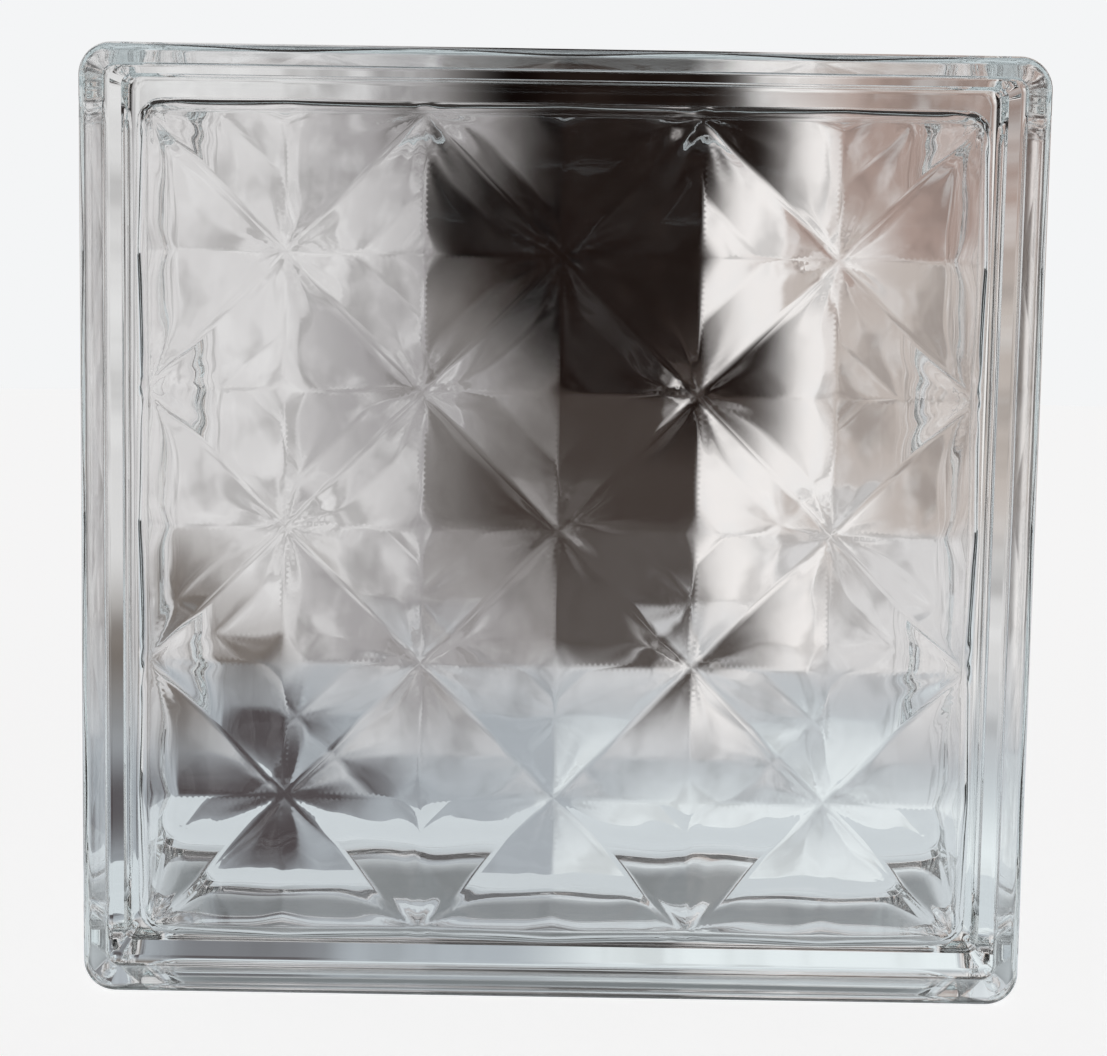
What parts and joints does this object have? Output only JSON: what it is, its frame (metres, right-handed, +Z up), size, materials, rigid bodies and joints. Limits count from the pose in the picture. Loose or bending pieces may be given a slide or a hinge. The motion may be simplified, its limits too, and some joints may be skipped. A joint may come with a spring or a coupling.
{
  "type": "glass block",
  "caption": "Square hollow glass block, two pressed shells fused into one piece, with a star relief inside both faces and a mortar channel round its edges.",
  "frame": {"origin": "middle of the lower edge, on the floor that the block stands on", "axes": "+Z up, -Y out of the front face, +X to the right seen from the front"},
  "size_m": [0.19, 0.08, 0.19],
  "materials": {
    "clear_glass": "clear pressed glass, fire-polished, faint grey-green at the edges"
  },
  "bodies": {
    "root": {"glass_block": "clear_glass"}
  },
  "joints": []
}
